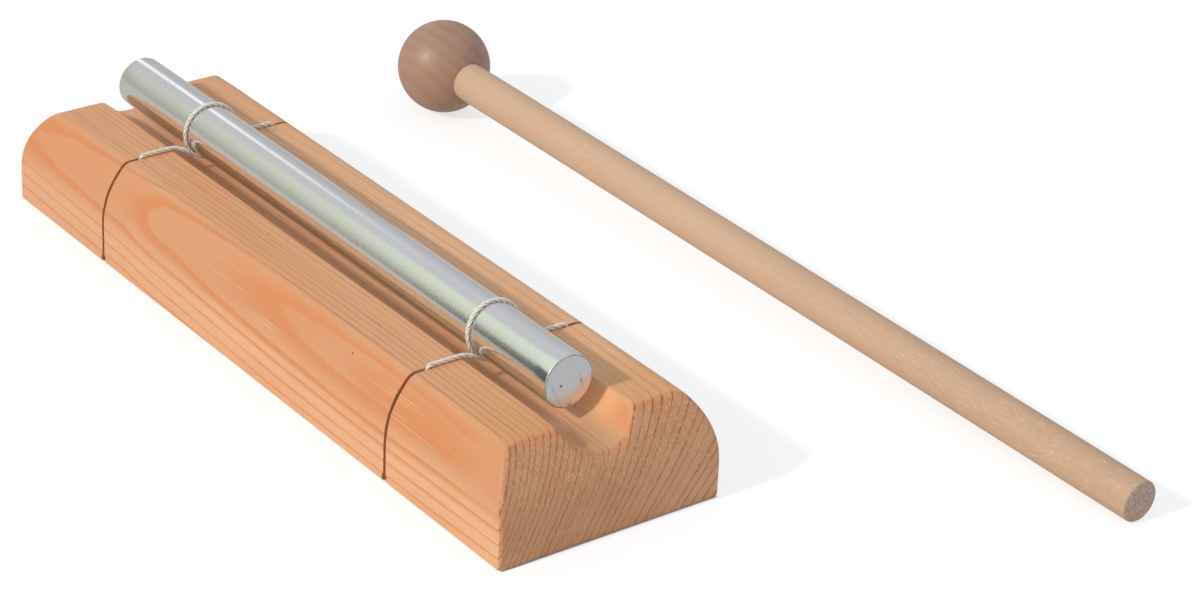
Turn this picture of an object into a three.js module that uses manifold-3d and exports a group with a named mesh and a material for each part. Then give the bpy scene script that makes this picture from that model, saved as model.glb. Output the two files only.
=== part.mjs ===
// Table chime: a solid round bar slung over the groove of a wooden base on two cords, and a mallet.
// Millimetres, +Z up. X runs along the bar, and the origin is the middle of the base's underside.
import * as THREE from 'three';
import { mergeVertices } from 'three/addons/utils/BufferGeometryUtils.js';
import Module from 'manifold-3d';

const wasm = await Module();
wasm.setup();

// Base block
const baseLength = 207;
const baseWidth = 58.2;
const baseHeight = 25;
const sideHeight = 10; // upright part of the long sides, below their round shoulders
const sideInset = 6.6; // from a long side to the crease where its shoulder meets the flat top
const endHeight = 7; // the same two sizes at the ends
const endInset = 7.8;
const grooveRadius = 10.6;
const grooveDepth = 6.3;
const edgeEase = 0.8; // hand-sanded edges

// Chime bar
const barDiameter = 12.7;
const barLength = 179.7;
const barOffset = -3.7; // the bar has slid this far towards the rear
const barSink = 2.65; // underside of the bar below the top of the base
const barChamfer = 0.4;

// Cords
const cordDiameter = 1.1;
const frontStation = 60.2; // where each cord crosses the base
const rearStation = -62;
const cordSpan = 37; // between the two drops of one cord
const cordGap = 0.15; // from a cord to the wood or the bar that it lies on
const turnGap = 0.5; // between the two passes of a cord under the bar
const cordBend = 1.1; // how far from a corner a cord starts to turn
const lipTurn = 0.6; // from the groove's lip in to where a cord dips under the bar
const frontDrag = -1; // how far the bar has carried each turn along, under the bar and over it
const frontLean = -2.4;
const rearDrag = 1.3;
const rearLean = 1.3;

// Saw slots for the cords, channels under the base, and pockets for the knots
const slotClearance = 0.1; // on each side of a cord
const slotEndGap = 0.35; // behind a cord at the inner end of its slot
const channelWidth = 2;
const channelHeight = 2.2;
const pocketRadius = 4;
const knotLength = 4.4;
const knotWidth = 3.2;
const knotHeight = 2.6;
const knotGap = 0.3; // from a knot to its cord's ends, its pocket's roof and the table

// Mallet
const headDiameter = 24.4;
const handleDiameter = 10;
const handleLength = 257;
const socketDepth = 15; // of the blind bore in the head
const socketClearance = 0.15; // all round the handle
const socketEndGap = 0.3; // between the handle's end and the floor of the bore
const handleChamfer = 0.5;
const headX = -93.5; // the mallet lies beside the base, with its head towards the rear
const headY = 91.2;
const malletYaw = THREE.MathUtils.degToRad(1.87);

// Fineness of the curved faces
const curveSteps = 8;
const roundSteps = 48;
const headSteps = 20;
const cordSides = 8;
const turnSteps = 24;
const bendSteps = 4;
const cutMargin = 2; // how far a cutter stands out of what it cuts
const weldDistance = 1e-4;

// Sizes that follow from the ones above
const halfWidth = baseWidth / 2;
const barRadius = barDiameter / 2;
const barHeight = baseHeight - barSink + barRadius;
const cordRadius = cordDiameter / 2;
const dropY = cordSpan / 2;
const slotWidth = cordDiameter + 2 * slotClearance;
const grooveCentre = baseHeight - grooveDepth + grooveRadius;
const lipY = Math.sqrt(grooveRadius ** 2 - (grooveCentre - baseHeight) ** 2);
const channelCentre = channelHeight - channelWidth / 2;
const pocketDepth = knotHeight + 2 * knotGap;
const headRadius = headDiameter / 2;
const handleRadius = handleDiameter / 2;

const axisX = new THREE.Vector3(1, 0, 0);
const axisY = new THREE.Vector3(0, 1, 0);
const axisZ = new THREE.Vector3(0, 0, 1);

const finishes = {
  pine: new THREE.MeshStandardMaterial({ color: 0xdca06c, roughness: 0.55, metalness: 0 }),
  aluminium: new THREE.MeshStandardMaterial({ color: 0xd4d6d8, roughness: 0.16, metalness: 1 }),
  twine: new THREE.MeshStandardMaterial({ color: 0xe4ded6, roughness: 0.6, metalness: 0 }),
  darkWood: new THREE.MeshStandardMaterial({ color: 0xa98368, roughness: 0.4, metalness: 0 }),
  birch: new THREE.MeshStandardMaterial({ color: 0xdcb48c, roughness: 0.6, metalness: 0 }),
};

function solidOf(geometry) {
  const bare = geometry.clone();
  bare.deleteAttribute('normal');
  bare.deleteAttribute('uv');
  const welded = mergeVertices(bare, weldDistance);
  return new wasm.Manifold(new wasm.Mesh({
    numProp: 3,
    vertProperties: new Float32Array(welded.attributes.position.array),
    triVerts: new Uint32Array(welded.index.array),
  }));
}

function geometryOf(solid) {
  const cut = solid.getMesh();
  const geometry = new THREE.BufferGeometry();
  geometry.setAttribute('position', new THREE.BufferAttribute(cut.vertProperties, 3));
  geometry.setIndex(new THREE.BufferAttribute(cut.triVerts, 1));
  geometry.computeVertexNormals();
  return geometry;
}

function piece(name, geometry, material) {
  const mesh = new THREE.Mesh(geometry, material);
  mesh.name = name;
  return mesh;
}

// Outline of a block seen along its length: upright flanks, round shoulders and a flat top.
// The top may be opened by drawTop, which goes from the right shoulder's crease to the left one's.
function shoulderedOutline(width, upright, inset, drawTop) {
  const half = width / 2;
  const rise = baseHeight - upright;
  const radius = (inset ** 2 + rise ** 2) / (2 * inset);
  const sweep = Math.asin(rise / radius);
  const outline = new THREE.Shape();
  outline.moveTo(-half + edgeEase, 0);
  outline.lineTo(half - edgeEase, 0);
  outline.quadraticCurveTo(half, 0, half, edgeEase);
  outline.lineTo(half, upright);
  outline.absarc(half - radius, upright, radius, 0, sweep, false);
  drawTop?.(outline);
  outline.lineTo(-half + inset, baseHeight);
  outline.absarc(-half + radius, upright, radius, Math.PI - sweep, Math.PI, false);
  outline.lineTo(-half, edgeEase);
  outline.quadraticCurveTo(-half, 0, -half + edgeEase, 0);
  return outline;
}

function drawGroove(outline) {
  const easeAngle = Math.asin((grooveCentre - baseHeight) / grooveRadius) + edgeEase / grooveRadius;
  const easeY = grooveRadius * Math.cos(easeAngle);
  const easeZ = grooveCentre - grooveRadius * Math.sin(easeAngle);
  outline.lineTo(lipY + edgeEase, baseHeight);
  outline.quadraticCurveTo(lipY, baseHeight, easeY, easeZ);
  outline.absarc(0, grooveCentre, grooveRadius, -easeAngle, easeAngle - Math.PI, true);
  outline.quadraticCurveTo(-lipY, baseHeight, -lipY - edgeEase, baseHeight);
}

// An outline drawn out by length along Z, half to each side.
function drawnOut(outline, length) {
  const options = { depth: length, curveSegments: curveSteps, bevelEnabled: false };
  return new THREE.ExtrudeGeometry(outline, options).translate(0, 0, -length / 2);
}

// The block is what the long run of its cross-section and the cross run of its end outline share,
// so that all four top edges are round.
function baseBlank() {
  const along = drawnOut(shoulderedOutline(baseWidth, sideHeight, sideInset, drawGroove), baseLength);
  const alongTurn = new THREE.Matrix4().makeBasis(axisY, axisZ, axisX);
  const across = drawnOut(shoulderedOutline(baseLength, endHeight, endInset), baseWidth + 2 * cutMargin);
  across.rotateX(Math.PI / 2);
  return solidOf(along.applyMatrix4(alongTurn)).intersect(solidOf(across));
}

// A saw slot from one long side in to the place where the cord drops through the base.
function slotCutter(station, side) {
  const inner = dropY - cordRadius - slotEndGap;
  const reach = halfWidth + cutMargin - inner;
  const slot = new THREE.BoxGeometry(slotWidth, reach, baseHeight + 2 * cutMargin);
  slot.translate(station, side * (inner + reach / 2), baseHeight / 2);
  return slot;
}

// An arched channel right across the underside, which joins the two slots of one cord.
function channelCutter(station) {
  const half = channelWidth / 2;
  const arch = new THREE.Shape();
  arch.moveTo(-half, -cutMargin);
  arch.lineTo(half, -cutMargin);
  arch.lineTo(half, channelCentre);
  arch.absarc(0, channelCentre, half, 0, Math.PI, false);
  arch.lineTo(-half, -cutMargin);
  const reach = baseWidth + 2 * cutMargin;
  const options = { depth: reach, curveSegments: curveSteps / 2, bevelEnabled: false };
  const channel = new THREE.ExtrudeGeometry(arch, options);
  channel.rotateX(Math.PI / 2);
  channel.translate(station, reach / 2, 0);
  return channel;
}

function pocketCutter(station) {
  const depth = pocketDepth + cutMargin;
  const pocket = new THREE.CylinderGeometry(pocketRadius, pocketRadius, depth, roundSteps / 2);
  pocket.rotateX(Math.PI / 2);
  pocket.translate(station, 0, pocketDepth - depth / 2);
  return pocket;
}

function baseBlock() {
  let block = baseBlank();
  for (const station of [frontStation, rearStation]) {
    block = block.subtract(solidOf(slotCutter(station, -1)));
    block = block.subtract(solidOf(slotCutter(station, 1)));
    block = block.subtract(solidOf(channelCutter(station)));
    block = block.subtract(solidOf(pocketCutter(station)));
  }
  return piece('base_block', geometryOf(block), finishes.pine);
}

function chimeBar() {
  const half = barLength / 2;
  const profile = [
    new THREE.Vector2(0, -half),
    new THREE.Vector2(barRadius - barChamfer, -half),
    new THREE.Vector2(barRadius, -half + barChamfer),
    new THREE.Vector2(barRadius, half - barChamfer),
    new THREE.Vector2(barRadius - barChamfer, half),
    new THREE.Vector2(0, half),
  ];
  const bar = piece('chime_bar', new THREE.LatheGeometry(profile, roundSteps), finishes.aluminium);
  bar.rotation.z = -Math.PI / 2;
  bar.position.set(barOffset, 0, barHeight);
  return bar;
}

// A curve through a list of points, which a tube follows with one step from each point to the next.
class CordCurve extends THREE.Curve {
  constructor(points) {
    super();
    this.points = points;
  }

  getPoint(t, target = new THREE.Vector3()) {
    const last = this.points.length - 1;
    const place = THREE.MathUtils.clamp(t, 0, 1) * last;
    const index = Math.min(Math.floor(place), last - 1);
    return target.lerpVectors(this.points[index], this.points[index + 1], place - index);
  }

  getUtoTmapping(u) {
    return u;
  }
}

// Points of a route with every inner corner turned in a soft bend.
function bentRoute(corners) {
  const points = [corners[0]];
  for (let i = 1; i < corners.length - 1; i += 1) {
    const corner = corners[i];
    const from = corner.clone().add(corners[i - 1].clone().sub(corner).setLength(cordBend));
    const to = corner.clone().add(corners[i + 1].clone().sub(corner).setLength(cordBend));
    points.push(...new THREE.QuadraticBezierCurve3(from, corner, to).getPoints(bendSteps));
  }
  points.push(corners[corners.length - 1]);
  return points;
}

// One cord: out of its knot, along the channel, up the left slot, in over the top, once right round
// the bar, out over the top again, down the right slot and back along the channel to the knot.
function cordRoute(station, drag, lean) {
  const windRadius = barRadius + cordGap + cordRadius;
  const topHeight = baseHeight + cordGap + cordRadius;
  const dipY = lipY - lipTurn;
  const below = barHeight - topHeight;
  const slope = Math.asin(windRadius / Math.hypot(dipY, below)) - Math.atan2(below, dipY);
  const startAngle = -Math.PI / 2 - slope;
  const wrap = 2 * Math.PI + 2 * slope;
  const drift = ((cordDiameter + turnGap) * wrap) / (2 * Math.PI);
  const windingPoint = (share) => {
    const angle = startAngle + share * wrap;
    const carried = THREE.MathUtils.lerp(drag, lean, (1 + Math.sin(angle)) / 2);
    return new THREE.Vector3(
      station + carried + drift * (0.5 - share),
      windRadius * Math.cos(angle),
      barHeight + windRadius * Math.sin(angle),
    );
  };

  const lead = (side, end) => bentRoute([
    new THREE.Vector3(station, side * (knotLength / 2 + knotGap), channelCentre),
    new THREE.Vector3(station, side * dropY, channelCentre),
    new THREE.Vector3(station, side * dropY, topHeight),
    new THREE.Vector3(station, side * dipY, topHeight),
    end,
  ]);
  const steps = Math.round((turnSteps * wrap) / (2 * Math.PI));
  const turn = [];
  for (let i = 1; i < steps; i += 1) {
    turn.push(windingPoint(i / steps));
  }
  return [...lead(-1, windingPoint(0)), ...turn, ...lead(1, windingPoint(1)).reverse()];
}

// Least clear distance between stretches of a cord that lie apart along its length.
function leastGap(points) {
  const apart = Math.PI * cordDiameter;
  const along = [0];
  for (let i = 1; i < points.length; i += 1) {
    along.push(along[i - 1] + points[i].distanceTo(points[i - 1]));
  }
  let least = Infinity;
  for (let i = 0; i < points.length; i += 1) {
    for (let j = i + 1; j < points.length; j += 1) {
      if (along[j] - along[i] > apart) {
        least = Math.min(least, points[i].distanceTo(points[j]) - cordDiameter);
      }
    }
  }
  return { least, length: along[along.length - 1] };
}

function cord(name, station, drag, lean) {
  const points = cordRoute(station, drag, lean);
  const ring = [];
  for (let i = 0; i < cordSides; i += 1) {
    const angle = (2 * Math.PI * i) / cordSides;
    ring.push(new THREE.Vector2(cordRadius * Math.cos(angle), cordRadius * Math.sin(angle)));
  }
  const tube = new THREE.ExtrudeGeometry(new THREE.Shape(ring), {
    steps: points.length - 1,
    extrudePath: new CordCurve(points),
  });
  const { least, length } = leastGap(points);
  console.log(`${name}: ${length.toFixed(1)} mm long, least gap to itself ${least.toFixed(2)} mm`);
  return piece(name, tube, finishes.twine);
}

// The two ends of a cord, tied in a knot that lies in its pocket under the base.
function cordKnot(name, station) {
  const knot = piece(name, new THREE.SphereGeometry(0.5, headSteps, headSteps / 2), finishes.twine);
  knot.scale.set(knotWidth, knotLength, knotHeight);
  knot.position.set(station, 0, knotGap + knotHeight / 2);
  return knot;
}

// The mallet is drawn along +X from the centre of its head, then laid down on the table.
function mallet() {
  const socketRadius = handleRadius + socketClearance;
  const socketFloor = headRadius - socketDepth;
  const mouthAngle = Math.acos(socketRadius / headRadius);
  const headProfile = [];
  for (let i = 0; i <= headSteps; i += 1) {
    const angle = THREE.MathUtils.lerp(-Math.PI / 2, mouthAngle, i / headSteps);
    const out = i === 0 ? 0 : headRadius * Math.cos(angle);
    headProfile.push(new THREE.Vector2(out, headRadius * Math.sin(angle)));
  }
  headProfile.push(new THREE.Vector2(socketRadius, socketFloor), new THREE.Vector2(0, socketFloor));
  const head = piece('mallet_head', new THREE.LatheGeometry(headProfile, roundSteps), finishes.darkWood);
  head.rotation.z = -Math.PI / 2;

  const start = socketFloor + socketEndGap;
  const end = start + handleLength;
  const handleProfile = [
    new THREE.Vector2(0, start),
    new THREE.Vector2(handleRadius - handleChamfer, start),
    new THREE.Vector2(handleRadius, start + handleChamfer),
    new THREE.Vector2(handleRadius, end - handleChamfer),
    new THREE.Vector2(handleRadius - handleChamfer, end),
    new THREE.Vector2(0, end),
  ];
  const handle = piece('mallet_handle', new THREE.LatheGeometry(handleProfile, roundSteps), finishes.birch);
  handle.rotation.z = -Math.PI / 2;

  const rim = end - handleChamfer; // the handle rests on the table here
  const dip = Math.asin(headRadius / Math.hypot(rim, handleRadius)) - Math.atan2(handleRadius, rim);
  const lying = new THREE.Group();
  lying.add(head, handle);
  lying.rotation.set(0, dip, malletYaw, 'ZYX');
  lying.position.set(headX, headY, headRadius);
  return lying;
}

const chime = new THREE.Group();
chime.add(
  baseBlock(),
  chimeBar(),
  cord('front_cord', frontStation, frontDrag, frontLean),
  cord('rear_cord', rearStation, rearDrag, rearLean),
  cordKnot('front_cord_knot', frontStation),
  cordKnot('rear_cord_knot', rearStation),
  mallet(),
);

export default chime;
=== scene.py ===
# Table chime: a metal bar slung on cords over a grooved wooden block, with a ball mallet beside it
import math
import bmesh
import bpy
import numpy as np
from mathutils import Matrix, Vector, noise


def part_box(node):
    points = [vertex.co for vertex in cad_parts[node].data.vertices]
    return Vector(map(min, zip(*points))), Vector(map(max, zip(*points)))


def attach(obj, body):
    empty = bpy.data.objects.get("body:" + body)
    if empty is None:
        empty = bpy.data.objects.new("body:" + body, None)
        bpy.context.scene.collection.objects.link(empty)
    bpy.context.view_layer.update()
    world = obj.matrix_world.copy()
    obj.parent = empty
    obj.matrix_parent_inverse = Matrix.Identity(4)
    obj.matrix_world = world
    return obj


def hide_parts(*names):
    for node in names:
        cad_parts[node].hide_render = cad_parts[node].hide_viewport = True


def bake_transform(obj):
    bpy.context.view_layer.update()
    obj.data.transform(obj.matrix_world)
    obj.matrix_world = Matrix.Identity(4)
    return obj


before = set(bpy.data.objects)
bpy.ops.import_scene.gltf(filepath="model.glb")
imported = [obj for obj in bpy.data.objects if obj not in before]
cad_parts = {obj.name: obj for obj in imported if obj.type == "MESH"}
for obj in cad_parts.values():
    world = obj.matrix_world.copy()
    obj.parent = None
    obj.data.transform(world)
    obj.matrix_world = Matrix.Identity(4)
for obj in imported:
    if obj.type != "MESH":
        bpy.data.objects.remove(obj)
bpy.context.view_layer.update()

mm = 0.001
print("frame loaded with", len(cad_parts), "nodes")


def maths(operation):
    return lambda first, second: first.finish.sum(operation, first, second)


def mathsBack(operation):  # the same with a number in front
    return lambda second, first: second.finish.sum(operation, first, second)


class Wire:  # a node's output that can stand in a sum
    def __init__(self, finish, socket):
        self.finish = finish
        self.socket = socket

    __add__ = maths("ADD")
    __radd__ = mathsBack("ADD")
    __sub__ = maths("SUBTRACT")
    __rsub__ = mathsBack("SUBTRACT")
    __mul__ = maths("MULTIPLY")
    __rmul__ = mathsBack("MULTIPLY")
    __truediv__ = maths("DIVIDE")
    __rtruediv__ = mathsBack("DIVIDE")
    __pow__ = maths("POWER")
    __rpow__ = mathsBack("POWER")

    def __abs__(self):
        return self.finish.sum("ABSOLUTE", self)


class Finish:  # the node tree of a material or of the world, with its piece's own values
    def __init__(self, owner, look):
        owner.use_nodes = True
        self.owner = owner
        self.look = look
        self.tree = owner.node_tree
        self.tree.nodes.clear()

    def node(self, kind, settings=None, sockets=None, out=0):
        made = self.tree.nodes.new("ShaderNode" + kind)
        for name, value in (settings or {}).items():
            setattr(made, name, value)
        for key, value in (sockets or {}).items():
            socket = self.find(made.inputs, key)
            if isinstance(value, Wire):
                self.tree.links.new(value.socket, socket)
            else:
                socket.default_value = value
        if not made.outputs:
            return None
        return Wire(self, self.find(made.outputs, out))

    def find(self, sockets, key):
        if isinstance(key, int):
            return sockets[key]
        return next(socket for socket in sockets if socket.identifier == key)

    def sum(self, operation, *values):
        return self.node("Math", {"operation": operation}, dict(enumerate(values)))

    def mix(self, share, first, second, mode="MIX"):
        settings = {"data_type": "RGBA", "blend_type": mode}
        sockets = {"Factor_Float": share, "A_Color": first, "B_Color": second}
        return self.node("Mix", settings, sockets, "Result_Color")

    def colour(self, name):  # a screen colour of the piece by its name, anything else as it is
        return paint(*self.look[name]) if isinstance(name, str) else name

    def coats(self, ground, *coats):  # colours laid over a ground, each by its share
        tone = self.colour(ground)
        for share, over in coats:
            tone = self.mix(share, tone, self.colour(over))
        return tone

    def smooth(self, value, start, end):  # 0 at start, 1 at end, eased
        settings = {"interpolation_type": "SMOOTHSTEP"}
        return self.node("MapRange", settings, {"Value": value, "From Min": start, "From Max": end})

    def ramp(self, value, name):  # the same between two of the piece's limits
        return self.smooth(value, *self.look[name])

    def stretch(self, vector, scale, turn=(0, 0, 0)):
        return self.node("Mapping", None, {"Vector": vector, "Scale": scale, "Rotation": turn})

    def patch(self, first, second, name):  # soft limits in two directions
        one, two = self.look[name]
        return self.smooth(first, *one) * self.smooth(second, *two)

    def grain(self, scale, detail=2.0, roughness=0.5, vector=None):
        vector = self.stretch(vector or self.place, scale)
        sockets = {"Vector": vector, "Scale": 1.0, "Detail": detail, "Roughness": roughness}
        return self.node("TexNoise", None, sockets)

    def split(self, vector):
        cut = self.node("SeparateXYZ", None, {0: vector}).socket.node
        return [Wire(self, socket) for socket in cut.outputs]

    def distance(self, first, second):
        return self.node("VectorMath", {"operation": "DISTANCE"}, {0: first, 1: second}, "Value")

    def bump(self, height, depth, strength=1.0):
        return self.node("Bump", None, {"Height": height, "Distance": depth, "Strength": strength})

    def facing(self):  # how far a face looks along the piece's length
        return abs(self.split(self.node("TexCoord", out="Normal"))[0])

    def blend(self, share, first, second):  # one shader over another
        return self.node("MixShader", None, {0: share, 1: first, 2: second})

    def bySight(self, lit, mirrored, seen):  # one shader as light, one in the metal, one to the eye
        unseen = self.blend(self.node("LightPath", out="Is Glossy Ray"), lit, mirrored)
        return self.blend(self.node("LightPath", out="Is Camera Ray"), unseen, seen)

    def surface(self, sockets):
        shader = self.node("BsdfPrincipled", None, sockets)
        self.node("OutputMaterial", None, {"Surface": shader})
        return self.owner


def newFinish(name, look):
    finish = Finish(bpy.data.materials.new(name), look)
    finish.place = finish.node("TexCoord", out="Object")  # where on its piece a point lies
    return finish


def paint(red, green, blue):  # a screen colour, 0 to 255, as Blender's linear one
    def linear(value):
        share = value / 255
        return share / 12.92 if share <= 0.04045 else ((share + 0.055) / 1.055) ** 2.4
    return (linear(red), linear(green), linear(blue), 1.0)


def newPiece(name, points, faces, finishes, sharpAngle=35, faceFinish=None):
    mesh = bpy.data.meshes.new(name)
    mesh.from_pydata([tuple(p) for p in points], [], [tuple(f) for f in faces])
    mesh.validate()
    for finish in finishes:
        mesh.materials.append(finish)
    if faceFinish is not None:
        mesh.polygons.foreach_set("material_index", faceFinish)
    mesh.shade_smooth()
    mesh.set_sharp_from_angle(angle=math.radians(sharpAngle))
    piece = bpy.data.objects.new(name, mesh)
    bpy.context.scene.collection.objects.link(piece)
    return piece


def softMin(first, second, band):  # the lower of two heights, with the corner between them eased
    near = np.maximum(band - np.abs(first - second), 0) / band
    return np.minimum(first, second) - near * near * band / 4


# Camera
lens = {
    "place": (0.599928, -0.393769, 0.387687),
    "forward": (-0.697523, 0.544559, -0.465744),
    "right": (0.595413, 0.802096, 0.046107),
    "focal": 104.756,  # in mm, as is the sensor's width
    "sensor": 36,
    "clip": (0.01, 50),
}


def makeCamera():
    data = bpy.data.cameras.new("camera")
    data.sensor_fit = "HORIZONTAL"
    data.sensor_width = lens["sensor"]
    data.lens = lens["focal"]
    data.clip_start, data.clip_end = lens["clip"]
    camera = bpy.data.objects.new("camera", data)
    bpy.context.scene.collection.objects.link(camera)
    back = -Vector(lens["forward"]).normalized()
    right = Vector(lens["right"]).normalized()
    up = back.cross(right)
    turn = Matrix((right, up, back)).transposed()
    camera.matrix_world = Matrix.Translation(lens["place"]) @ turn.to_4x4()
    bpy.context.scene.camera = camera


makeCamera()
print("camera placed")


# Softwood of the block: rings round a pith that lies outside it, so one side shows flames
boardLook = {
    "pith": (92.8, -49.7),  # y and z of the heart of the tree, in mm
    "ringStart": 86,
    "ringRate": 0.43,  # rings per mm at ringStart, and how fast they crowd further out
    "crowding": 0.0029,
    "ringShift": -0.55,
    "lean": (1.123, 51, 50),  # how far the trunk leans off the block's length, where, how sharply
    "step": (-54.5, -39.5, 0.5),  # a swelling of the trunk: from, to, how much
    "swell": (0.6, 0.02),  # share of both at the foot, and more for each mm of height
    "wander": (((8, 30, 30), 1), ((45, 420, 420), 0.22), ((25, 1700, 1700), 0.3)),  # grain and mm
    "uneven": (0.9, 0.5),  # how often and how far the rings' widths stray
    "lateFrom": (0.5, 0.36),  # where in its ring the dark late wood begins, and how much that varies
    "lateFull": 0.95,
    "lateEnd": 0.97,
    "early": (233, 176, 131),
    "golden": (231, 170, 110),
    # the groove is paler than the top: partly the wood's tone, partly painted light that lifts the shade
    # inside it
    "groove": (243, 196, 157),
    # painted light: the groove's left side made pale, for sunlight thrown there by the bar
    "grooveLitLeft": (255, 224, 188),
    # painted shade: a darker band down the groove's left side, where the lip's shadow falls
    "grooveShadeDeep": (218, 178, 140),
    # painted light: the sunlit right wall near the front made brighter orange
    "grooveLitRight": (255, 187, 136),
    "grooveFront": (215, 166, 125),
    "sideFoot": (242, 185, 140),
    "sideLow": (246, 190, 144),
    "sideHigh": (224, 161, 117),
    "sideFar": (226, 168, 126),
    "flame": (225, 142, 90),
    "line": (200, 102, 42),
    "pale": (250, 208, 164),
    "endEarly": (222, 165, 124),
    "endRed": (206, 142, 100),
    "endLine": (168, 82, 32),
    "kerf": (218, 148, 106),
    "speck": (74, 50, 34),
    "specks": ((41.3, -25.2, 21.9, 0.34), (-12, -13.4, 25, 0.3), (38, -16.2, 25, 0.26)),
    # from and to in mm along x, across y or up z
    "sideAcross": (-20.5, -25),
    "footUp": (3, 9),
    "highUp": (7, 17),
    "farAlong": (40, -90),
    "flameUp": (10, 15),
    "flameAlong": (-30, -5),
    "flameEnd": (82, 94),
    "blush": (66, 30, 19.8, 3.8),  # a red patch: middle and half its length, then the same in height
    "scuff": (35, 18.5),  # middle of the scratched part of the side, in x and z
    "scuffPatch": ((5, 2), (60, 35)),  # how far from there it reaches, in z and x
    "palerAcross": (4, 12),
    "palerAlong": (-20, -95),
    "goldenPatch": ((66, 92), (6, 12)),
    "hollowAcross": (10.2, 9.2),
    "faintAcross": (0.5, 4),
    "grooveEnds": (92, 84),
    "frontAlong": (82, 90),
    "litLeftAcross": (0, -3),
    "shadePatch": ((-3.8, -5), (-9.2, -8.2)),
    "shadeSlope": 0.032,  # the painted light below the lip widens towards the front, narrowing the painted shade band
    "litRightPatch": ((74, 89), (2.5, 8.5)),
    # painted light: an orange glow on the right wall at the front
    "glowPatch": ((89, 95.5), (3.5, 8)),
    "endPalePatch": ((0, 20), (20, 12)),
    # painted glint: pale pore specks grow stronger up the end
    "poreGlintUp": (7, 15),
    "sawnUp": (10, 7),
}


def boardRings(finish, x, y, z):  # how far through its ring a point lies, and the ring's own number
    look = boardLook
    pithY, pithZ = look["pith"]
    lean, leanMiddle, leanReach = look["lean"]
    stepFrom, stepTo, step = look["step"]
    swellFoot, swellUp = look["swell"]
    strayRate, stray = look["uneven"]
    away = ((y - pithY) ** 2 + (z - pithZ) ** 2) ** 0.5
    bow = (((x - leanMiddle) / leanReach) ** 2 + 1) ** 0.5 - 1
    swell = finish.smooth(x, stepFrom, stepTo) * step - bow * lean
    ring = away + swell * (swellFoot + z * swellUp)
    for scale, amount in look["wander"]:
        ring = ring + (finish.grain(scale) - 0.5) * amount
    out = ring - look["ringStart"]
    count = out * look["ringRate"] + out * out * look["crowding"] + look["ringShift"]
    oneWay = {"noise_dimensions": "1D"}
    uneven = finish.node("TexNoise", oneWay, {"W": count, "Scale": strayRate, "Detail": 0})
    count = count + (uneven - 0.5) * stray
    year = finish.node("TexWhiteNoise", oneWay, {"W": finish.sum("FLOOR", count)})
    return finish.sum("FRACT", count), year


def sideTone(finish, x, z, phase, rise):  # the long sides, where the rings run out in flames
    look = boardLook
    high = finish.ramp(z, "flameUp")
    broad = high * (0.15 + finish.ramp(x, "flameAlong") * 0.5)
    late = finish.smooth(phase, rise - broad, look["lateFull"]) ** 1.4
    late = late * finish.smooth(phase, 1, look["lateEnd"] - broad * 0.16)
    late = late * (1 - finish.ramp(x, "flameEnd") * high * 0.8)
    middleX, halfX, middleZ, halfZ = look["blush"]
    blush = finish.smooth(((x - middleX) / halfX) ** 2 + ((z - middleZ) / halfZ) ** 2, 1, 0.1)
    return finish.coats(
        "sideFoot",
        (finish.ramp(z, "footUp"), "sideLow"),
        (finish.ramp(x, "farAlong") * 0.5, "sideFar"),
        (finish.ramp(z, "highUp"), "sideHigh"),
        (late * 0.85, "flame"),
        (blush * 0.7, "flame"),
    )


def grooveTone(finish, x, y):
    # Painted light and shade in the groove: a pale lit left side, a shaded band below the lip, a lit right
    # wall and an orange glow near the front
    inner = finish.ramp(abs(x), "grooveEnds")
    # painted shade: a darker band down the left side, where the lip's shadow falls
    deep = finish.patch(y, y - x * boardLook["shadeSlope"], "shadePatch")
    return finish.coats(
        "groove",
        (finish.ramp(x, "frontAlong"), "grooveFront"),
        # painted light on the left side of the groove, under the bar
        (finish.ramp(y, "litLeftAcross") * inner, "grooveLitLeft"),
        (deep * inner, "grooveShadeDeep"),
        # painted light on the sunlit right wall near the front
        (finish.patch(x, y, "litRightPatch"), "grooveLitRight"),
        # painted light: an orange glow patch on the right wall at the front
        (finish.patch(x, y, "glowPatch") * 0.75, "flame"),
    )


def topTone(finish, x, y, thin, year):  # the flat top and the groove, with close straight lines
    streak = finish.grain((9, 2100, 2100), 2, 0.6)
    dash = finish.grain((120, 900, 900))
    hollow = finish.ramp(abs(y), "hollowAcross")
    faint = 1 - finish.ramp(y, "faintAcross") * (0.4 + hollow * 0.35)
    return finish.coats(
        "early",
        (finish.ramp(y, "palerAcross") * (0.5 - finish.ramp(x, "palerAlong") * 0.5), "pale"),
        (finish.patch(x, abs(y), "goldenPatch") * 0.7, "golden"),
        (hollow * 0.85, grooveTone(finish, x, y)),
        (thin * (0.25 + year * 0.3 + dash * 0.3) * faint, "line"),
        (finish.smooth(streak, 0.52, 0.66) * faint * 0.3, "line"),
    )


def endTone(finish, y, z, thin, year, arris, pore):  # end grain, with arcs of late wood
    patch = finish.grain((100, 130, 130), 3, 0.6)
    torn = finish.grain((300, 1100, 420), 2, 0.6)
    sawn = finish.grain((50, 40, 3800), 2, 0.6)
    strong = 0.4 + year * 0.25 + finish.smooth(torn, 0.35, 0.65) * 0.35 + arris * 0.3
    # painted glint: the pale pore specks grow stronger up the end, where the shoulder takes more light
    bright = 0.35 + finish.ramp(z, "poreGlintUp") * 0.35
    return finish.coats(
        "endEarly",
        (finish.smooth(patch, 0.35, 0.7) * 0.45, "endRed"),
        # paler towards the lower right of the end
        (finish.patch(y, z, "endPalePatch") * 0.22, "pale"),
        (arris * 0.45, "flame"),
        (thin * strong, "endLine"),
        (finish.smooth(pore, 0.57, 0.68) * bright, "pale"),
        (finish.smooth(pore, 0.42, 0.3) * 0.3, "endLine"),
        (finish.smooth(sawn, 0.58, 0.7) * finish.ramp(z, "sawnUp") * 0.2, "pale"),
    )


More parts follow.
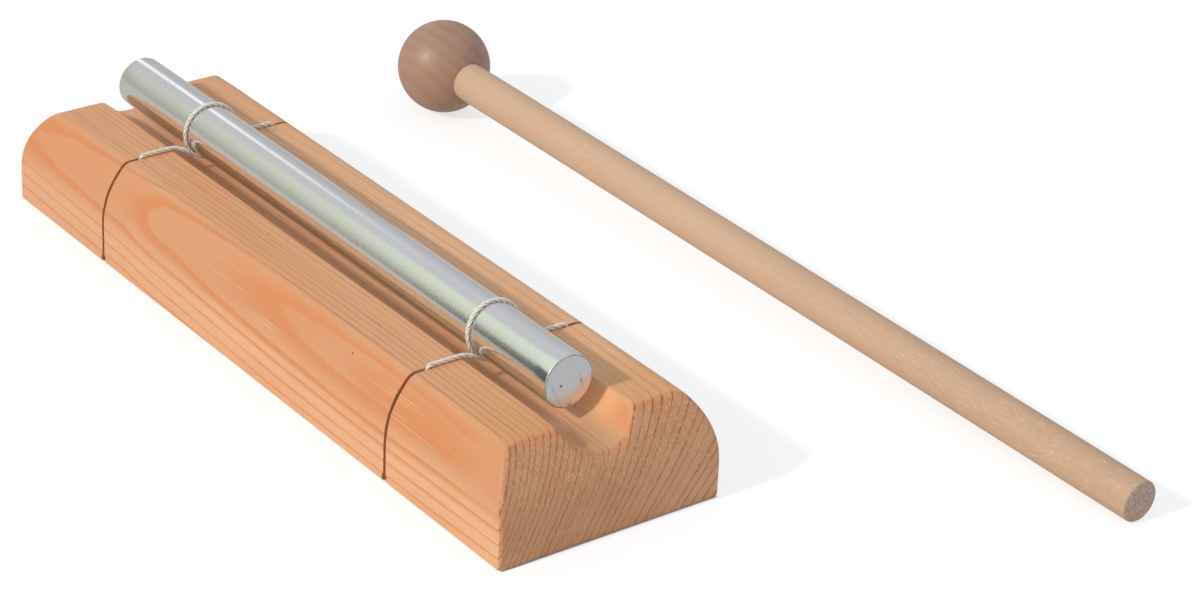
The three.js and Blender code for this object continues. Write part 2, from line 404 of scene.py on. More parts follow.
def boardWood():
    look = boardLook
    finish = newFinish("boardWood", look)
    x, y, z = [part * 1000 for part in finish.split(finish.place)]  # in mm
    phase, year = boardRings(finish, x, y, z)
    earliest, spread = look["lateFrom"]
    rise = earliest + year * spread
    thin = finish.smooth(phase, 0.36 + rise * 0.6, look["lateFull"])
    thin = thin * finish.smooth(phase, 1, look["lateEnd"])
    fibre = finish.grain((70, 2600, 2600), 3, 0.6)
    cloud = finish.grain((16, 70, 70))
    mottle = finish.grain((700, 1500, 1500), 2, 0.6)
    scratch = finish.grain((38, 3600, 3600), 0)
    pore = finish.grain((900, 2900, 1300), 2, 0.65)
    scuffX, scuffZ = look["scuff"]
    scuffed = finish.patch(abs(z - scuffZ), abs(x - scuffX), "scuffPatch")
    facing = finish.facing()
    endGrain = finish.smooth(facing, 0.25, 0.55)
    arris = finish.smooth(facing, 0.1, 0.4) * finish.smooth(facing, 0.8, 0.55)
    tone = finish.coats(
        topTone(finish, x, y, thin, year),
        (finish.ramp(y, "sideAcross"), sideTone(finish, x, z, phase, rise)),
        (finish.smooth(cloud, 0.42, 0.72) * 0.25, "flame"),
        (finish.smooth(scratch, 0.75, 0.79) * scuffed * 0.75, "pale"),
        (endGrain, endTone(finish, y, z, thin, year, arris, pore)),
    )
    for spotX, spotY, spotZ, size in look["specks"]:
        far = finish.distance(finish.place, (spotX * mm, spotY * mm, spotZ * mm))
        tone = finish.coats(tone, (finish.smooth(far, size * mm, size * 0.5 * mm) * 0.8, "speck"))
    light = 0.93 + fibre * 0.08 + mottle * 0.07
    shade = finish.node("CombineColor", None, {0: light, 1: light * 1.04 - 0.04, 2: light * 1.08 - 0.08})
    return finish.surface({
        "Base Color": finish.mix(1, tone, shade, "MULTIPLY"),
        "Roughness": 0.38 + fibre * 0.1 + endGrain * 0.1,
        "Normal": finish.bump(fibre * 0.5 + pore * endGrain, 0.06 * mm, 0.6),
        "Specular IOR Level": 0.28,
    })


def kerfWood():  # inside the saw cuts
    finish = newFinish("kerfWood", boardLook)
    rough = finish.grain((1400, 900, 900), 3, 0.7)
    return finish.surface({
        "Base Color": finish.coats("kerf", (finish.smooth(rough, 0.4, 0.7), "sideFar")),
        "Roughness": 0.8,
        "Normal": finish.bump(rough, 0.12 * mm, 0.7),
        "Specular IOR Level": 0.25,
    })


# Block with round shoulders, a groove along it, saw slots and channels for the cords
block = {
    "sideUpright": 10 * mm,  # upright part of the long sides, below their shoulders
    "sideInset": 6.6 * mm,  # from a long side to the crease at the flat top
    "endUpright": 7 * mm,
    "endInset": 7.8 * mm,
    "grooveRadius": 10.6 * mm,
    "grooveDepth": 6.3 * mm,
    "cornerRound": 1.0 * mm,
    "creaseSoft": 1.3 * mm,
    "lipSoft": 0.5 * mm,
    "endSoft": 2.2 * mm,  # softer edges towards both ends
    "softReach": 14 * mm,
    "footRound": 0.5 * mm,
    "stations": (60.2 * mm, -62 * mm),  # where the cords cross
    "slotWidth": 0.95 * mm,
    "slotInner": 17.6 * mm,
    "channelWidth": 2 * mm,
    "channelHeight": 2.2 * mm,
    "pocketRadius": 4 * mm,
    "pocketDepth": 3.2 * mm,
    "ragged": 0.18 * mm,  # how rough the saw left the slots, and how finely
    "raggedScale": 420,
    "spare": 3 * mm,  # how far a cut runs past the wood
    "shoulderPoints": 29,
    "lengthSteps": 72,
    "landSteps": 20,
    "groovePoints": 49,
    "slotSteps": (1, 24, 40),
    "sharpAngle": 38,
}


def shoulder(kind, height):  # radius and sweep of the round shoulder of the ends or the sides
    inset = block[kind + "Inset"]
    rise = height - block[kind + "Upright"]
    radius = (inset ** 2 + rise ** 2) / (2 * inset)
    return radius, math.asin(rise / radius)


def shoulderDepth(kind, height, radius):  # how far in a shoulder stands at a height
    up = np.clip(height - block[kind + "Upright"], 0, radius)
    return radius - np.sqrt(radius ** 2 - up ** 2)


def grooveShape(top):  # height of the groove's axis, and half its width at the top
    centre = top - block["grooveDepth"] + block["grooveRadius"]
    return centre, math.sqrt(block["grooveRadius"] ** 2 - (centre - top) ** 2)


def eased(start, end, steps):  # places from start to end, close together at both ends
    return start + (end - start) * (1 - np.cos(np.linspace(0, math.pi, steps + 1))) / 2


def blockGrid(high):  # where the points of the top lie, seen from above
    endRadius, endSweep = shoulder("end", high.z)
    sideRadius, sideSweep = shoulder("side", high.z)
    lip = grooveShape(high.z)[1]
    turnX = endRadius * (1 - np.cos(np.linspace(0, endSweep, block["shoulderPoints"])))
    turnY = sideRadius * (1 - np.cos(np.linspace(0, sideSweep, block["shoulderPoints"])))
    middle = eased(-high.x + turnX[-1], high.x - turnX[-1], block["lengthSteps"])[1:-1]
    land = eased(-high.y + turnY[-1], -lip, block["landSteps"])[1:-1]
    around = np.linspace(-1, 1, block["groovePoints"]) * math.asin(lip / block["grooveRadius"])
    bowl = block["grooveRadius"] * np.sin(around)
    xs = np.concatenate([-high.x + turnX, middle, (high.x - turnX)[::-1]])
    ys = np.concatenate([-high.y + turnY, land, bowl, -land[::-1], (high.y - turnY)[::-1]])
    gridX, gridY = np.meshgrid(xs, ys, indexing="ij")
    corner = block["cornerRound"]
    deepX = np.clip(1 - (high.x - np.abs(gridX)) / corner, 0, 1)  # share of the way into a corner
    deepY = np.clip(1 - (high.y - np.abs(gridY)) / corner, 0, 1)
    inX = np.where(deepX * deepY > 0, corner * deepX * (1 - np.sqrt(1 - deepY ** 2 / 2)), 0)
    inY = np.where(deepX * deepY > 0, corner * deepY * (1 - np.sqrt(1 - deepX ** 2 / 2)), 0)
    return gridX - np.sign(gridX) * inX, gridY - np.sign(gridY) * inY


def blockCrown(gridX, gridY, high):  # height of the top: shoulders, flat and groove, with eased edges
    height = high.z
    corner = block["cornerRound"]
    endRadius = shoulder("end", height)[0]
    sideRadius = shoulder("side", height)[0]
    fromEnd = high.x - np.abs(gridX)
    fromSide = high.y - np.abs(gridY)
    below = np.zeros_like(gridX)
    above = np.full_like(gridX, height * 1.4)
    for _ in range(40):  # height of the shoulders by halving
        trial = (below + above) / 2
        outX = np.maximum(corner - fromEnd + shoulderDepth("end", trial, endRadius), 0)
        outY = np.maximum(corner - fromSide + shoulderDepth("side", trial, sideRadius), 0)
        inside = np.hypot(outX, outY) <= corner + 1e-9
        below = np.where(inside, trial, below)
        above = np.where(inside, above, trial)
    nearEnd = np.clip(2 * (1 - fromEnd / block["softReach"]), 0, 1)
    crease = block["creaseSoft"] + (block["endSoft"] - block["creaseSoft"]) * nearEnd
    lipEdge = block["lipSoft"] + (block["endSoft"] - block["lipSoft"]) * nearEnd
    radius = block["grooveRadius"]
    drop = np.sqrt(np.maximum(radius ** 2 - gridY ** 2, 0))
    floor = np.where(np.abs(gridY) < radius, grooveShape(height)[0] - drop, height * 2)
    return softMin(softMin(below, np.full_like(below, height), crease), floor, lipEdge)


def wallFaces(upper, lower):
    count = len(upper)
    return [(upper[k], lower[k], lower[(k + 1) % count], upper[(k + 1) % count]) for k in range(count)]


def blockShell(high):
    gridX, gridY = blockGrid(high)
    crown = blockCrown(gridX, gridY, high)
    rows, columns = crown.shape
    points = list(np.stack([gridX, gridY, crown], 2).reshape(-1, 3))
    faces = []
    for i in range(rows - 1):
        for j in range(columns - 1):
            a = i * columns + j
            faces.append((a, a + columns, a + columns + 1, a + 1))
    rim = [i * columns for i in range(rows)]
    rim += [(rows - 1) * columns + j for j in range(1, columns)]
    rim += [i * columns + columns - 1 for i in range(rows - 2, -1, -1)]
    rim += [j for j in range(columns - 2, 0, -1)]
    last = rim

    def addRing(spots):
        ring = list(range(len(points), len(points) + len(spots)))
        points.extend(spots)
        faces.extend(wallFaces(last, ring))
        return ring

    foot = block["footRound"]
    for share in (0.34, 0.67, 1.0):  # down the walls to the foot's rounding
        spots = []
        for px, py, pz in [points[index] for index in rim]:
            spots.append(np.array([px, py, pz + (foot - pz) * share]))
        last = addRing(spots)
    upright = [points[index] for index in last]
    corner = block["cornerRound"]
    for angle in (30, 60, 90):
        keep = (corner - foot * (1 - math.cos(math.radians(angle)))) / corner
        rise = foot * (1 - math.sin(math.radians(angle)))
        spots = []
        for px, py, _ in upright:
            coreX = np.clip(px, -high.x + corner, high.x - corner)
            coreY = np.clip(py, -high.y + corner, high.y - corner)
            spots.append(np.array([coreX + (px - coreX) * keep, coreY + (py - coreY) * keep, rise]))
        last = addRing(spots)
    faces.append(tuple(last[::-1]))
    return points, faces


def slotCutter(lowest, highest):  # a box with jittered walls, as a saw leaves them
    low = np.array(lowest)
    high = np.array(highest)
    counts = np.array(block["slotSteps"])
    index = {}
    points = []
    faces = []

    def corner(cell):
        if cell not in index:
            spot = low + (high - low) * (np.array(cell) / counts)
            spot[0] += noise.noise(Vector(spot * block["raggedScale"])) * block["ragged"]
            index[cell] = len(points)
            points.append(spot)
        return index[cell]

    def addFace(*cells):
        faces.append(tuple(corner(cell) for cell in cells))

    nx, ny, nz = block["slotSteps"]
    for j in range(ny):
        for k in range(nz):
            addFace((0, j, k), (0, j, k + 1), (0, j + 1, k + 1), (0, j + 1, k))
            addFace((nx, j, k), (nx, j + 1, k), (nx, j + 1, k + 1), (nx, j, k + 1))
    for i in range(nx):
        for k in range(nz):
            addFace((i, 0, k), (i + 1, 0, k), (i + 1, 0, k + 1), (i, 0, k + 1))
            addFace((i, ny, k), (i, ny, k + 1), (i + 1, ny, k + 1), (i + 1, ny, k))
        for j in range(ny):
            addFace((i, j, 0), (i, j + 1, 0), (i + 1, j + 1, 0), (i + 1, j, 0))
            addFace((i, j, nz), (i + 1, j, nz), (i + 1, j + 1, nz), (i, j + 1, nz))
    return points, faces


def prismCutter(outline, start, end):  # an outline of points drawn out from start to end
    count = len(outline)
    points = [np.array(start) + p for p in outline] + [np.array(end) + p for p in outline]
    faces = [tuple(range(count))[::-1], tuple(range(count, 2 * count))]
    faces += [(k, (k + 1) % count, count + (k + 1) % count, count + k) for k in range(count)]
    return points, faces


def joined(parts):
    points = []
    faces = []
    for morePoints, moreFaces in parts:
        shift = len(points)
        points += morePoints
        faces += [tuple(index + shift for index in face) for face in moreFaces]
    return points, faces


def inTriangles(mesh):  # splits the faces with four corners, which may be warped
    work = bmesh.new()
    work.from_mesh(mesh)
    bmesh.ops.triangulate(work, faces=[face for face in work.faces if len(face.verts) == 4])
    work.to_mesh(mesh)
    work.free()


def carve(piece, cuts, finish):
    cutters = []
    inTriangles(piece.data)
    for parts in cuts:
        points, faces = joined(parts)
        cutter = newPiece("cutter", points, faces, [finish])
        inTriangles(cutter.data)
        cut = piece.modifiers.new("cut", "BOOLEAN")
        cut.operation = "DIFFERENCE"
        cut.solver = "EXACT"
        cut.material_mode = "TRANSFER"
        cut.object = cutter
        cutters.append(cutter)
    bpy.context.view_layer.update()
    shown = piece.evaluated_get(bpy.context.evaluated_depsgraph_get())
    carved = bpy.data.meshes.new_from_object(shown)
    piece.modifiers.clear()
    old = piece.data
    piece.data = carved
    bpy.data.meshes.remove(old)
    for cutter in cutters:
        bpy.data.objects.remove(cutter)


def makeBlock():
    low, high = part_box("base_block")
    points, faces = blockShell(high)
    piece = newPiece("block", points, faces, [boardWood()])
    spare = block["spare"]
    half = block["slotWidth"] / 2
    arch = block["channelWidth"] / 2
    spring = block["channelHeight"] - arch  # where the channel's arch begins
    slots = []
    channels = []
    pockets = []
    for station in block["stations"]:
        for side in (-1, 1):
            edges = sorted((side * block["slotInner"], side * (high.y + spare)))
            lowest = (station - half, edges[0], -spare)
            slots.append(slotCutter(lowest, (station + half, edges[1], high.z + spare)))
        outline = [np.array([arch, 0, -spare])]
        for angle in np.linspace(0, math.pi, 13):
            outline.append(np.array([arch * math.cos(angle), 0, spring + arch * math.sin(angle)]))
        outline.append(np.array([-arch, 0, -spare]))
        channels.append(prismCutter(outline, (station, high.y + spare, 0), (station, low.y - spare, 0)))
        angles = np.linspace(0, math.tau, 49)[:-1]
        ring = [block["pocketRadius"] * np.array([math.cos(a), math.sin(a), 0]) for a in angles]
        pockets.append(prismCutter(ring, (station, 0, -spare), (station, 0, block["pocketDepth"])))
    carve(piece, (slots, channels, pockets), kerfWood())
    piece.data.shade_smooth()
    piece.data.set_sharp_from_angle(angle=math.radians(block["sharpAngle"]))
    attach(piece, "base")
    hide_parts("base_block")
    print("block made with", len(piece.data.polygons), "faces")


makeBlock()


# Cords: each comes up the left slot, goes once round the bar and goes down the right slot
cord = {
    "diameter": 1.1 * mm,
    "span": 37 * mm,  # between the two drops of one cord
    "gap": 0.15 * mm,  # over the flat top
    "hug": 0.02 * mm,  # round the bar
    "pressed": 0.78,  # share of its thickness that is left where it is drawn tight on the bar
    "squeezed": 0.8,  # and between the walls of a slot
    "squeezeFrom": 0.5 * mm,  # above the flat top
    "squeezeOver": 1.2 * mm,
    "slotEase": 1 * mm,
    "turnGap": 0.5 * mm,
    "turnSteps": 96,
    "bend": 1.1 * mm,
    "lipTurn": 0.6 * mm,
    "channel": 1.2 * mm,  # height of the run under the block
    "innerEnd": 2.5 * mm,  # where each end meets the knot
    "strands": 3,
    "pitch": 5.2 * mm,
    "strandRadius": 0.255 * mm,
    "strandSides": 10,
    "step": 0.16 * mm,
    # how far each cord is dragged along the bar, below it and on top
    "drags": {"front_cord": (-1 * mm, -2.4 * mm), "rear_cord": (1.3 * mm, 1.3 * mm)},
    "giveReach": 3.6 * mm,  # from the lip, inward and up, to a point that is worked out but not used
    "giveSlope": (0.928, 0.371),  # inward and up
    "white": (255, 251, 243),
    "grey": (242, 233, 221),
    # painted shade in the grooves between the strands
    "groove": (230, 219, 206),
}


def twine():  # pale on the crests of the strands, greyer in the grooves between them as painted shade
    finish = newFinish("twine", cord)
    crest = finish.node("Attribute", {"attribute_name": "crest"}, None, "Fac")
    fluff = finish.grain((4200, 4200, 4200), 2, 0.6)
    soil = finish.grain((260, 260, 260))
    strand = finish.coats("white", (fluff * 0.3 + soil * 0.35, "grey"))
    return finish.surface({
        "Base Color": finish.coats("groove", (finish.smooth(crest, 0.45, 0.8), strand)),
        "Roughness": 0.24 + fluff * 0.16,
        "Normal": finish.bump(fluff, 0.02 * mm, 0.5),
        "Specular IOR Level": 0.6,
    })


def bent(corners, length, steps=8):  # a route with its inner corners turned in soft bends
    points = [corners[0]]
    for before, here, after in zip(corners, corners[1:], corners[2:]):
        start = here + (before - here).normalized() * length
        end = here + (after - here).normalized() * length
        for k in range(steps + 1):
            t = k / steps
            points.append(start * (1 - t) ** 2 + here * (2 * t * (1 - t)) + end * t ** 2)
    points.append(corners[-1])
    return points


def cordRoute(station, drag, lean, axis, barRadius, top):
    radius = cord["diameter"] / 2
    wind = barRadius + cord["hug"] + radius
    over = top + cord["gap"] + radius
    lip = grooveShape(top)[1]
    dip = lip - cord["lipTurn"]
    dropY = cord["span"] / 2
    below = axis - over
    slope = math.asin(wind / math.hypot(dip, below)) - math.atan2(below, dip)
    wrap = math.tau + 2 * slope
    drift = (cord["diameter"] + cord["turnGap"]) * wrap / math.tau

    def turnPoint(share):
        angle = -math.pi / 2 - slope + share * wrap
        carried = drag + (lean - drag) * (1 + math.sin(angle)) / 2
        x = station + carried + drift * (0.5 - share)
        return Vector((x, wind * math.cos(angle), axis + wind * math.sin(angle)))

    def lead(side, end):
        return bent([
            Vector((station, side * cord["innerEnd"], cord["channel"])),
            Vector((station, side * dropY, cord["channel"])),
            Vector((station, side * dropY, over)),
            Vector((station, side * dip, over)),
            end,
        ], cord["bend"])

    turns = cord["turnSteps"]
    lowest = round(turns * slope / wrap)  # step at the foot of the first pass
    left = lead(-1, turnPoint(0)) + [turnPoint(k / turns) for k in range(1, lowest + 1)]
    right = [turnPoint(k / turns) for k in range(lowest, turns)] + lead(1, turnPoint(1))[::-1]
    return left, right, lip, over


def evenly(points, step):  # the same route in equal steps
    route = np.array([tuple(p) for p in points])
    along = np.concatenate([[0], np.cumsum(np.linalg.norm(np.diff(route, axis=0), axis=1))])
    count = int(round(along[-1] / step))
    marks = np.linspace(0, along[-1], count + 1)
    return np.stack([np.interp(marks, along, route[:, k]) for k in range(3)], 1), marks


def rounded(route, passes=6):  # takes the last angles out of a route, with its ends kept
    for _ in range(passes):
        middle = (route[:-2] + 2 * route[1:-1] + route[2:]) / 4
        route = np.concatenate([route[:1], middle, route[-1:]])
    return route


def directions(route):
    tangents = np.gradient(route, axis=0)
    return tangents / np.linalg.norm(tangents, axis=1)[:, None]


def carriedFrames(route):  # a normal and a binormal carried along without twist
    tangents = directions(route)
    normal = np.cross(tangents[0], (1.0, 0.0, 0.0))
    normals = []
    for tangent in tangents:
        normal = normal - tangent * np.dot(normal, tangent)
        normal = normal / np.linalg.norm(normal)
        normals.append(normal)
    normals = np.array(normals)
    return normals, np.cross(tangents, normals)


def tube(route, around, sides, radius):  # closed tube, around points away from the twist's middle
    tangents = directions(route)
    first = around - tangents * np.sum(around * tangents, axis=1)[:, None]
    first /= np.linalg.norm(first, axis=1)[:, None]
    second = np.cross(tangents, first)
    angles = math.tau * np.arange(sides) / sides
    acrossFirst = np.cos(angles)[None, :, None] * first[:, None, :]
    acrossSecond = np.sin(angles)[None, :, None] * second[:, None, :]
    rings = route[:, None, :] + radius * (acrossFirst + acrossSecond)
    faces = []
    for i in range(len(route) - 1):
        for j in range(sides):
            a = i * sides + j
            b = i * sides + (j + 1) % sides
            faces.append((a, b, b + sides, a + sides))
    faces.append(tuple(range(sides))[::-1])
    start = (len(route) - 1) * sides
    faces.append(tuple(range(start, start + sides)))
    return list(rings.reshape(-1, 3)), faces


def easedShare(value):
    share = np.clip(value, 0, 1)
    return share * share * (3 - 2 * share)


def pressedOn(points, station, axis, barRadius, top):  # flattens a cord on the bar and in its slots
    spots = np.array(points)
    deep = easedShare((top + cord["squeezeFrom"] - spots[:, 2]) / cord["squeezeOver"])
    deep = np.where(np.abs(spots[:, 1]) > block["slotInner"] - cord["slotEase"], deep, 0)
    spots[:, 0] = station + (spots[:, 0] - station) * (1 - (1 - cord["squeezed"]) * deep)
    away = np.hypot(spots[:, 1], spots[:, 2] - axis)
    proud = away - barRadius
    thick = cord["diameter"]
    held = 1 - easedShare((proud - thick) / (2 * thick))
    sunk = (1 - cord["pressed"]) * np.clip(proud, 0, thick) * held
    keep = (away - sunk) / np.maximum(away, 1e-9)
    spots[:, 1] *= keep
    spots[:, 2] = axis + (spots[:, 2] - axis) * keep
    return spots


def twistedPiece(name, route, marks, frames, finish, press=None):  # strands laid round each other
    normals, binormals = frames
    lay = cord["diameter"] / 2 - cord["strandRadius"]
    sides = cord["strandSides"]
    parts = []
    for strand in range(cord["strands"]):
        angle = math.tau * (marks / cord["pitch"] + strand / cord["strands"])
        out = np.cos(angle)[:, None] * normals + np.sin(angle)[:, None] * binormals
        parts.append(tube(route + lay * out, out, sides, cord["strandRadius"]))
    points, faces = joined(parts)
    if press:
        points = pressedOn(points, *press)
    piece = newPiece(name, points, faces, [finish], 60)
    outward = (1 + np.cos(math.tau * np.arange(sides) / sides)) / 2
    crest = piece.data.attributes.new("crest", "FLOAT", "POINT")
    crest.data.foreach_set("value", np.tile(outward, len(points) // sides))
    return piece


def makeCords():
    barLow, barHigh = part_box("chime_bar")
    barRadius = (barHigh.z - barLow.z) / 2
    axis = (barHigh.z + barLow.z) / 2
    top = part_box("base_block")[1].z
    inward, up = cord["giveSlope"]
    finish = twine()
    for name, station in zip(("front_cord", "rear_cord"), block["stations"]):
        drag, lean = cord["drags"][name]
        left, right, lip, over = cordRoute(station, drag, lean, axis, barRadius, top)
        whole, marks = evenly(left + right[1:], cord["step"])
        whole = rounded(whole)
        split = int(np.argmin(np.linalg.norm(whole - np.array(right[0]), axis=1)))
        normals, binormals = carriedFrames(whole)
        press = (station, axis, barRadius, top)
        for side, part in ((-1, slice(0, split + 1)), (1, slice(split, None))):
            label = name + ("_left" if side < 0 else "_right")
            frames = (normals[part], binormals[part])
            piece = twistedPiece(label, whole[part], marks[part], frames, finish, press)
            start = Vector((station, side * lip, over))
            end = start + cord["giveReach"] * Vector((0, -side * inward, up))
            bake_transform(piece)
            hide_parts(name)
        print(name, "is", round(marks[-1] / mm, 1), "mm long")
    return finish


twineFinish = makeCords()


# Knots that tie the cords' ends, in their pockets under the block
knot = {
    "length": 4.2 * mm,
    "width": 3.0 * mm,
    "height": 2.4 * mm,
    "lift": 1.6 * mm,
    "turns": 6,  # twists of the cord along the knot
    "points": 181,
}


def makeKnots():
    turn = np.linspace(0, math.tau, knot["points"])
    size = np.array([knot["width"], knot["length"], knot["height"]]) / 2 - cord["diameter"] / 2
    for name, station in zip(("front_cord_knot", "rear_cord_knot"), block["stations"]):
        acrossX = np.sin(turn) + 2 * np.sin(2 * turn)
        acrossY = np.cos(turn) - 2 * np.cos(2 * turn)
        loop = np.stack([acrossX, acrossY, -np.sin(3 * turn)], 1)
        loop = loop / np.abs(loop).max(0) * size + np.array([station, 0, knot["lift"]])
        marks = np.linspace(0, knot["turns"] * cord["pitch"], len(loop))
        piece = twistedPiece(name + "_tied", loop, marks, carriedFrames(loop), twineFinish)
        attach(piece, "base")
        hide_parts(name)
    print("knots tied")


makeKnots()


def turned(profile, steps):  # a profile of (along X, radius) points turned about X
    points = []
    rings = []
    for along, radius in profile:
        if radius == 0:
            rings.append([len(points)])
            points.append(np.array([along, 0.0, 0.0]))
            continue
        rings.append(list(range(len(points), len(points) + steps)))
        for k in range(steps):
            angle = math.tau * k / steps
            points.append(np.array([along, radius * math.cos(angle), radius * math.sin(angle)]))
    faces = []
    for first, second in zip(rings, rings[1:]):
        for k in range(steps):
            after = (k + 1) % steps
            if len(first) == 1:
                faces.append((first[0], second[after], second[k]))
            elif len(second) == 1:
                faces.append((first[k], first[after], second[0]))
            else:
                faces.append((first[k], first[after], second[after], second[k]))
    return points, faces


def roundEdge(along, radius, size, side, steps=4):  # points of a rounded rim, from the end face outwards
    points = []
    for k in range(steps + 1):
        angle = math.pi / 2 * k / steps
        points.append((along - side * size * (1 - math.cos(angle)), radius - size * (1 - math.sin(angle))))
    return points


def rodProfile(start, end, radius, rim, middle):  # a rod with rounded rims, for turning
    profile = [(start, 0), (start, radius * 0.5)] + roundEdge(start, radius, rim, -1)
    profile += [(along, radius) for along in middle]
    return profile + roundEdge(end, radius, rim, 1)[::-1] + [(end, radius * 0.5), (end, 0)]


# Bar of polished aluminium with sawn ends
bar = {
    "rimRound": 0.2 * mm,
    "sides": 128,
    "lengthPoints": 40,
    "polish": (243, 244, 246),
    "dull": (140, 140, 138),
    "sawn": (233, 239, 248),
    "sawMark": (120, 116, 112),
    "sawLean": (0.1, 0.1),  # how far the saw's cut leans off square, sideways and back
    "sawSlant": math.radians(-30),
    "lineSide": (-3 * mm, 1 * mm),  # the saw's stray lines show more on the right
    "pit": (-2.0 * mm, -0.6 * mm),
    "pitSize": (0.55 * mm, 0.2 * mm),
    "burr": (5.85 * mm, 6.05 * mm),  # dark line just inside the rim
}


def polishedMetal():
    finish = newFinish("polishedMetal", bar)
    smear = finish.grain((60, 260, 260), 3)
    peel = finish.grain((1500, 1900, 1900), 2, 0.6)  # fine unevenness of drawn metal
    rare = finish.grain((70, 160, 160))
    dots = finish.stretch(finish.place, (1200, 1200, 1200))
    pit = finish.node("TexVoronoi", None, {"Vector": dots, "Scale": 1})
    speck = finish.smooth(pit, 0.24, 0.1) * finish.smooth(rare, 0.5, 0.62)
    edge = finish.smooth(finish.facing(), 0.1, 0.3)  # the broken edge of the rim
    return finish.surface({
        "Base Color": finish.coats("polish", (speck * 0.35 + edge * 0.3, "dull")),
        "Metallic": 1.0,
        "Roughness": 0.06 + smear * 0.08 + speck * 0.15 + edge * 0.4,
        "Normal": finish.bump(peel - speck * 0.7, 0.012 * mm),
    })


def sawnMetal():
    finish = newFinish("sawnMetal", bar)
    y, z = finish.split(finish.place)[1:]
    slant = finish.stretch(finish.place, (1, 1, 1), (bar["sawSlant"], 0, 0))
    fine = finish.grain((20, 4200, 60), 2, 0.6, slant)
    stray = finish.grain((20, 420, 26), 1, 0.6, slant)
    blot = finish.grain((500, 500, 500))
    onFace = finish.node("CombineXYZ", None, {1: y, 2: z})
    pit = finish.ramp(finish.distance(onFace, (0, *bar["pit"])), "pitSize")
    line = finish.smooth(abs(stray - 0.5), 0.011, 0) * (0.3 + finish.ramp(y, "lineSide") * 0.7)
    burr = finish.ramp((y * y + z * z) ** 0.5, "burr") * finish.smooth(blot, 0.3, 0.5)
    mark = line * 0.5 + finish.smooth(fine, 0.62, 0.72) * 0.1 + pit * 0.8 + burr * 0.6
    leanY, leanZ = bar["sawLean"]
    return finish.surface({
        "Base Color": finish.coats("sawn", (mark, "sawMark")),
        "Metallic": 0.88,
        "Roughness": 0.17 + blot * 0.1,
        "Normal": finish.bump(fine * 0.012 * mm - pit * 0.03 * mm + y * leanY - z * leanZ, 1),
    })


def makeBar():
    low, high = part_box("chime_bar")
    radius = (high.z - low.z) / 2
    half = (high.x - low.x) / 2
    rim = bar["rimRound"]
    middle = np.linspace(-half + rim, half - rim, bar["lengthPoints"])[1:-1]
    points, faces = turned(rodProfile(-half, half, radius, rim, middle), bar["sides"])
    sawn = [int(min(abs(points[i][0]) for i in face) >= half - 1e-6) for face in faces]
    piece = newPiece("bar", points, faces, [polishedMetal(), sawnMetal()], 40, sawn)
    piece.location = (low + high) / 2
    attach(piece, "bar")
    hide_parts("chime_bar")
    print("bar made,", round(2 * half / mm, 1), "mm long")


makeBar()


# Mallet: a turned ball on a dowel, lying on the table
mallet = {
    "headRadius": 12.2 * mm,
    "handleRadius": 5 * mm,
    "handleLength": 257 * mm,
    "socketDepth": 15 * mm,
    "socketEndGap": 0.3 * mm,
    "socketClearance": 0.03 * mm,
    "mouthRound": 0.1 * mm,
    "mouthDepth": 0.15 * mm,
    "rimRound": 0.5 * mm,
    "head": (-93.5 * mm, 91.2 * mm),
    "yaw": math.radians(1.87),
    "ballPoints": 73,
    "ballSides": 112,
    "dowelPoints": 60,
    "dowelSides": 72,
    "dowelEase": 2 * mm,  # from the dowel's ends to its first plain ring
    "headBrown": (187, 149, 127),
    "headDark": (154, 114, 95),
    "headWarm": (196, 150, 124),
    "headPith": (24.5, 31.6),  # y and z, in mm
    "headRings": 0.3,  # per mm
    "birch": (225, 190, 160),
    "birchDark": (202, 164, 134),
    "birchPink": (228, 176, 144),
    "birchEnd": (222, 197, 178),
    "fleckDark": (176, 120, 86),
    "fleckPale": (250, 222, 196),
    "endPore": (170, 142, 124),
    "darkerAlong": (90 * mm, 240 * mm),  # the dowel grows darker towards its free end between these
}


def turnedWood():
    finish = newFinish("turnedWood", mallet)
    y, z = [part * 1000 for part in finish.split(finish.place)[1:]]  # in mm
    pithY, pithZ = mallet["headPith"]
    bend = finish.grain((40, 60, 60))
    away = ((y - pithY) ** 2 + (z - pithZ) ** 2) ** 0.5 + (bend - 0.5) * 4.0
    phase = finish.sum("FRACT", away * mallet["headRings"])
    line = finish.smooth(phase, 0.1, 0.75) * finish.smooth(phase, 1, 0.8)
    fibre = finish.grain((140, 2400, 2400), 3, 0.6)
    return finish.surface({
        "Base Color": finish.coats(
            "headBrown",
            (line * 0.2 + fibre * 0.5, "headDark"),
            (finish.smooth(bend, 0.42, 0.66) * 0.3, "headWarm"),
        ),
        "Roughness": 0.4 + fibre * 0.12,
        "Normal": finish.bump(fibre, 0.03 * mm, 0.4),
        "Coat Weight": 0.08,
        "Coat Roughness": 0.26,
    })


def dowelWood():
    finish = newFinish("dowelWood", mallet)
    fibre = finish.grain((40, 3000, 3000), 3, 0.6)
    band = finish.grain((12, 420, 420))
    flare = finish.grain((30, 260, 260), 3, 0.6)
    fleck = finish.grain((420, 4400, 4400), 1)
    pore = finish.grain((2600, 5200, 2900), 1)
    end = finish.smooth(finish.facing(), 0.6, 0.9)
    towardFreeEnd = finish.ramp(finish.split(finish.place)[0], "darkerAlong")
    return finish.surface({
        "Base Color": finish.coats(
            "birch",
            (band * 0.35 + fibre * 0.5 + towardFreeEnd * 0.45 - 0.12, "birchDark"),
            (finish.smooth(flare, 0.52, 0.7) * 0.3, "birchPink"),
            (finish.smooth(fleck, 0.6, 0.78) * (0.2 + towardFreeEnd * 0.3), "fleckDark"),
            (finish.smooth(fleck, 0.4, 0.24) * (0.2 + towardFreeEnd * 0.4), "fleckPale"),
            (end, finish.coats("birchEnd", (finish.smooth(pore, 0.36, 0.62), "endPore"))),
        ),
        "Roughness": 0.55 + fibre * 0.12,
        "Normal": finish.bump(fibre + end * pore, 0.05 * mm, 0.5),
        "Specular IOR Level": 0.35,
    })


